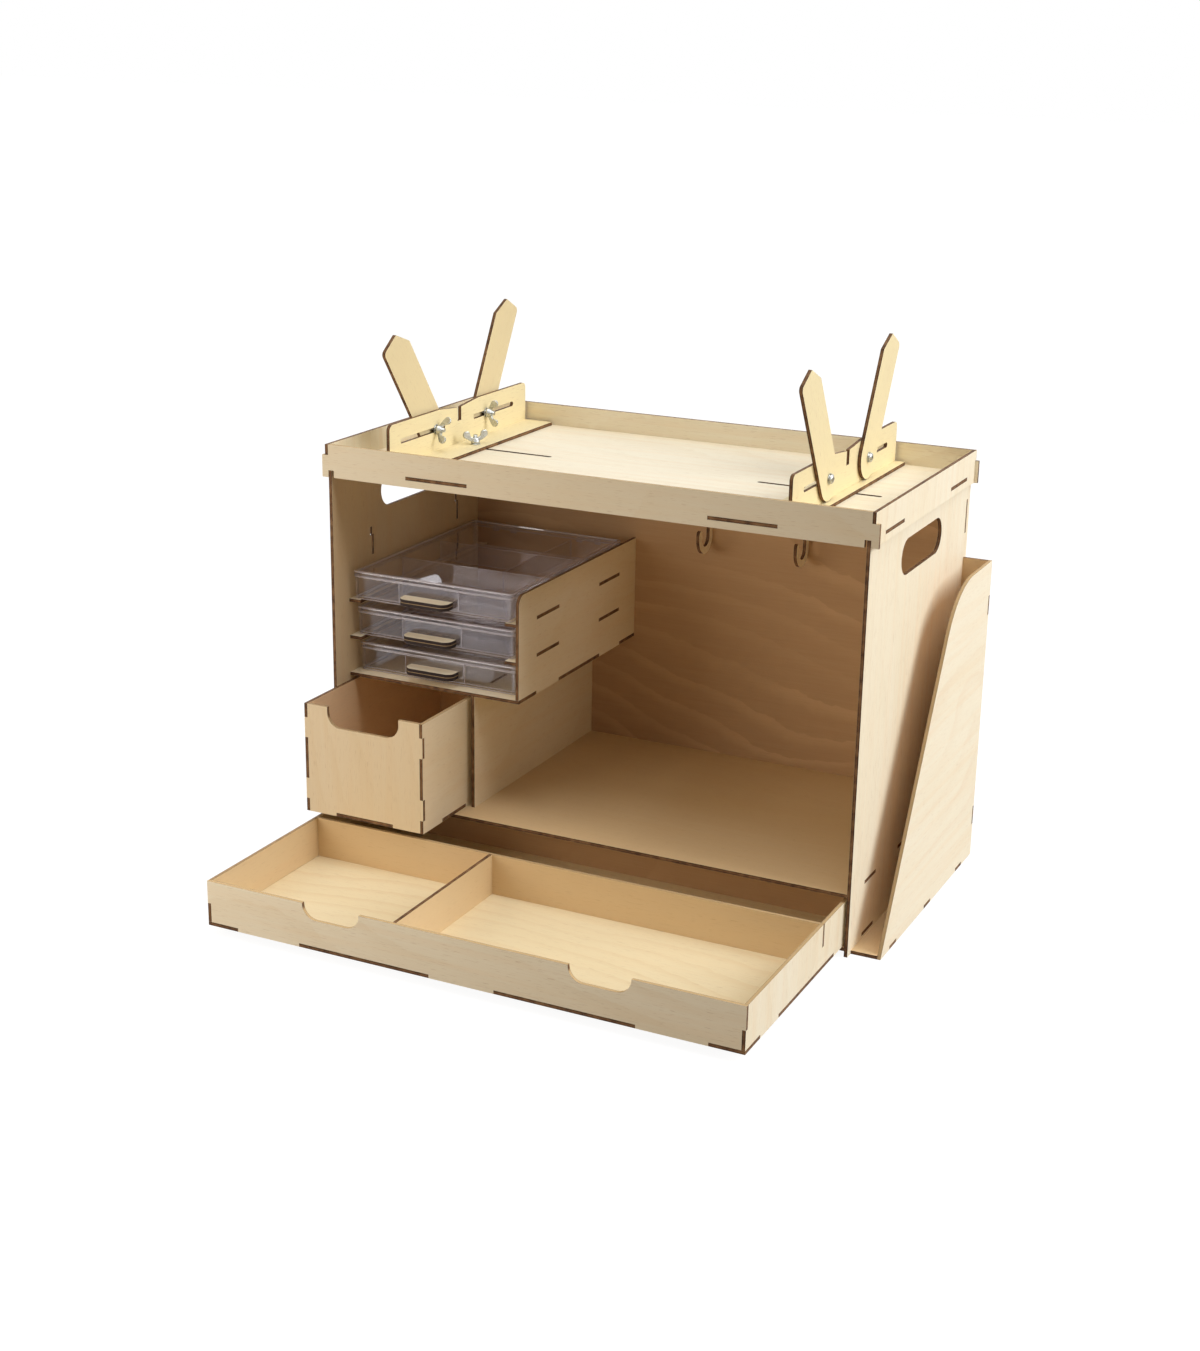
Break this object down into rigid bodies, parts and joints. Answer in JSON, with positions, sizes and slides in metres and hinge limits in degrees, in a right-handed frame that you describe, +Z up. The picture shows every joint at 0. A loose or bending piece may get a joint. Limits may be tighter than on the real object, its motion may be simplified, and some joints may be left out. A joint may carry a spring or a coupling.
{
  "type": "modelling workbench",
  "caption": "Slot-together plywood hobby workbench: an open bay with drawers, clear boxes on a rack, tool hooks, a side pocket, and a lift-off tray with sliding keel clamps.",
  "frame": {"origin": "on the floor, in the middle of the back panel's lower edge", "axes": "+X to the right as seen from the front, +Y to the back, +Z up"},
  "size_m": [0.5112, 0.461, 0.4631],
  "materials": {
    "birch": "bare sanded birch plywood with laser-darkened edges",
    "clamp_birch": "bare sanded birch plywood with laser-darkened edges",
    "clear_plastic": "clear polystyrene",
    "zinc": "bright zinc plate"
  },
  "bodies": {
    "cabinet": {"left_side_panel": "birch", "right_side_panel": "birch", "back_panel": "birch", "base_panel": "birch", "deck_panel": "birch", "bay_divider": "birch", "rack_floor": "birch", "rack_side_panel": "birch", "box_runners": "birch", "tool_hooks": "birch", "pocket_outer_panel": "birch", "pocket_back_plate": "birch", "pocket_floor_plate": "birch"},
    "tray": {"tray_floor": "birch", "tray_front_rim": "birch", "tray_back_rim": "birch", "tray_left_rim": "birch", "tray_right_rim": "birch"},
    "small_drawer": {"small_drawer_front": "birch", "small_drawer_back": "birch", "small_drawer_left_side": "birch", "small_drawer_right_side": "birch", "small_drawer_bottom": "birch"},
    "wide_drawer": {"wide_drawer_front": "birch", "wide_drawer_back": "birch", "wide_drawer_left_side": "birch", "wide_drawer_right_side": "birch", "wide_drawer_bottom": "birch", "wide_drawer_cross_wall": "birch", "wide_drawer_divider": "birch"},
    "bottom_box": {"bottom_box_tub": "clear_plastic", "bottom_box_lid": "clear_plastic", "bottom_box_pull": "birch"},
    "middle_box": {"middle_box_tub": "clear_plastic", "middle_box_lid": "clear_plastic", "middle_box_pull": "birch"},
    "top_box": {"top_box_tub": "clear_plastic", "top_box_pull": "birch"},
    "top_box_lid": {"top_box_lid": "clear_plastic"},
    "left_clamp_base_bolt": {"left_clamp_base_bolt": "zinc"},
    "left_clamp_plate": {"left_clamp_base_plate": "clamp_birch", "left_clamp_fence": "clamp_birch"},
    "left_clamp_base_wing_nut": {"left_clamp_base_wing_nut": "zinc"},
    "left_clamp_front_bolt": {"left_clamp_front_bolt": "zinc"},
    "left_clamp_front_arm": {"left_clamp_front_arm": "clamp_birch"},
    "left_clamp_front_wing_nut": {"left_clamp_front_wing_nut": "zinc"},
    "left_clamp_back_bolt": {"left_clamp_back_bolt": "zinc"},
    "left_clamp_back_arm": {"left_clamp_back_arm": "clamp_birch"},
    "left_clamp_back_wing_nut": {"left_clamp_back_wing_nut": "zinc"},
    "right_clamp_base_bolt": {"right_clamp_base_bolt": "zinc"},
    "right_clamp_plate": {"right_clamp_base_plate": "clamp_birch", "right_clamp_fence": "clamp_birch"},
    "right_clamp_base_wing_nut": {"right_clamp_base_wing_nut": "zinc"},
    "right_clamp_front_bolt": {"right_clamp_front_bolt": "zinc"},
    "right_clamp_front_arm": {"right_clamp_front_arm": "clamp_birch"},
    "right_clamp_front_wing_nut": {"right_clamp_front_wing_nut": "zinc"},
    "right_clamp_back_bolt": {"right_clamp_back_bolt": "zinc"},
    "right_clamp_back_arm": {"right_clamp_back_arm": "clamp_birch"},
    "right_clamp_back_wing_nut": {"right_clamp_back_wing_nut": "zinc"}
  },
  "joints": [
    {"name": "tray_lift", "type": "slide", "parent": "cabinet", "child": "tray", "axis": [0, 0, 1], "range_m": [0, 0.1]},
    {"name": "small_drawer_slide", "type": "slide", "parent": "cabinet", "child": "small_drawer", "axis": [0, -1, 0], "range_m": [-0.0735, 0.11]},
    {"name": "wide_drawer_slide", "type": "slide", "parent": "cabinet", "child": "wide_drawer", "axis": [0, -1, 0], "range_m": [-0.202, 0.015]},
    {"name": "bottom_box_slide", "type": "slide", "parent": "cabinet", "child": "bottom_box", "axis": [0, -1, 0], "range_m": [-0.003, 0.19]},
    {"name": "middle_box_slide", "type": "slide", "parent": "cabinet", "child": "middle_box", "axis": [0, -1, 0], "range_m": [-0.007, 0.19]},
    {"name": "top_box_slide", "type": "slide", "parent": "cabinet", "child": "top_box", "axis": [0, -1, 0], "range_m": [-0.012, 0.19]},
    {"name": "top_box_lid_hinge", "type": "hinge", "parent": "top_box", "child": "top_box_lid", "pos_m": [-0.15485, -0.0165, 0.2459], "axis": [-1, 0, 0], "range_deg": [0, 20]},
    {"name": "left_clamp_slide", "type": "slide", "parent": "tray", "child": "left_clamp_base_bolt", "axis": [1, 0, 0], "range_m": [-0.0302, 0.0732]},
    {"name": "left_clamp_swivel", "type": "hinge", "parent": "left_clamp_base_bolt", "child": "left_clamp_plate", "pos_m": [-0.1715, -0.122, 0.345], "axis": [0, 0, 1], "range_deg": [-4, 4]},
    {"name": "left_clamp_base_nut_spin", "type": "hinge", "parent": "left_clamp_base_bolt", "child": "left_clamp_base_wing_nut", "pos_m": [-0.1715, -0.122, 0.352], "axis": [0, 0, 1], "continuous": true},
    {"name": "left_clamp_front_bolt_slide", "type": "slide", "parent": "left_clamp_plate", "child": "left_clamp_front_bolt", "axis": [0, -1, 0], "range_m": [-0.0133, 0.0563]},
    {"name": "left_clamp_front_arm_pivot", "type": "hinge", "parent": "left_clamp_front_bolt", "child": "left_clamp_front_arm", "pos_m": [-0.1935, -0.1625, 0.3672], "axis": [1, 0, 0], "range_deg": [-40, 19]},
    {"name": "left_clamp_front_nut_spin", "type": "hinge", "parent": "left_clamp_front_bolt", "child": "left_clamp_front_wing_nut", "pos_m": [-0.1835, -0.1625, 0.3672], "axis": [1, 0, 0], "continuous": true},
    {"name": "left_clamp_back_bolt_slide", "type": "slide", "parent": "left_clamp_plate", "child": "left_clamp_back_bolt", "axis": [0, 1, 0], "range_m": [-0.0208, 0.0488]},
    {"name": "left_clamp_back_arm_pivot", "type": "hinge", "parent": "left_clamp_back_bolt", "child": "left_clamp_back_arm", "pos_m": [-0.1935, -0.074, 0.3672], "axis": [-1, 0, 0], "range_deg": [-32, 27]},
    {"name": "left_clamp_back_nut_spin", "type": "hinge", "parent": "left_clamp_back_bolt", "child": "left_clamp_back_wing_nut", "pos_m": [-0.1835, -0.074, 0.3672], "axis": [1, 0, 0], "continuous": true},
    {"name": "right_clamp_slide", "type": "slide", "parent": "tray", "child": "right_clamp_base_bolt", "axis": [1, 0, 0], "range_m": [-0.0562, 0.0472]},
    {"name": "right_clamp_swivel", "type": "hinge", "parent": "right_clamp_base_bolt", "child": "right_clamp_plate", "pos_m": [0.1545, -0.122, 0.345], "axis": [0, 0, 1], "range_deg": [-4, 4]},
    {"name": "right_clamp_base_nut_spin", "type": "hinge", "parent": "right_clamp_base_bolt", "child": "right_clamp_base_wing_nut", "pos_m": [0.1545, -0.122, 0.352], "axis": [0, 0, 1], "continuous": true},
    {"name": "right_clamp_front_bolt_slide", "type": "slide", "parent": "right_clamp_plate", "child": "right_clamp_front_bolt", "axis": [0, -1, 0], "range_m": [-0.0243, 0.0453]},
    {"name": "right_clamp_front_arm_pivot", "type": "hinge", "parent": "right_clamp_front_bolt", "child": "right_clamp_front_arm", "pos_m": [0.1765, -0.1735, 0.3672], "axis": [1, 0, 0], "range_deg": [-35, 24]},
    {"name": "right_clamp_front_nut_spin", "type": "hinge", "parent": "right_clamp_front_bolt", "child": "right_clamp_front_wing_nut", "pos_m": [0.1665, -0.1735, 0.3672], "axis": [1, 0, 0], "continuous": true},
    {"name": "right_clamp_back_bolt_slide", "type": "slide", "parent": "right_clamp_plate", "child": "right_clamp_back_bolt", "axis": [0, 1, 0], "range_m": [-0.0143, 0.0553]},
    {"name": "right_clamp_back_arm_pivot", "type": "hinge", "parent": "right_clamp_back_bolt", "child": "right_clamp_back_arm", "pos_m": [0.1765, -0.0805, 0.3672], "axis": [-1, 0, 0], "range_deg": [-32, 27]},
    {"name": "right_clamp_back_nut_spin", "type": "hinge", "parent": "right_clamp_back_bolt", "child": "right_clamp_back_wing_nut", "pos_m": [0.1665, -0.0805, 0.3672], "axis": [1, 0, 0], "continuous": true}
  ]
}
